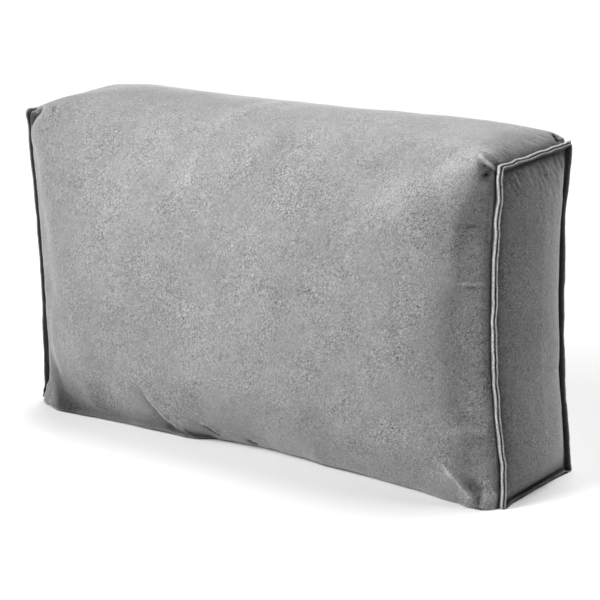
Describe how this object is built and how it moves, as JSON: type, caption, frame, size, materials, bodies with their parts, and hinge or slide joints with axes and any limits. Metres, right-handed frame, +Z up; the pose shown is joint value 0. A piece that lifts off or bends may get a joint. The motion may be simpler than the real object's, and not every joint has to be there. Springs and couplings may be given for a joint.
{
  "type": "box-shaped sofa back cushion",
  "caption": "Box-shaped sofa back cushion in grey velvet: a filled body in a wrap panel, with narrow end panels and turned-out end seams, standing on its long lower side.",
  "frame": {"origin": "on the surface under the middle of the cushion's outer sizes", "axes": "+X along the cushion's width, -Y out of its front, +Z up from the long lower side that it stands on"},
  "size_m": [0.8258, 0.2538, 0.4706],
  "materials": {
    "wrap_velvet": "short-pile velvet",
    "right_end_velvet": "short-pile velvet",
    "left_end_velvet": "short-pile velvet"
  },
  "bodies": {
    "root": {"cushion_body": "wrap_velvet", "end_panel_right": "right_end_velvet", "end_panel_left": "left_end_velvet"}
  },
  "joints": []
}
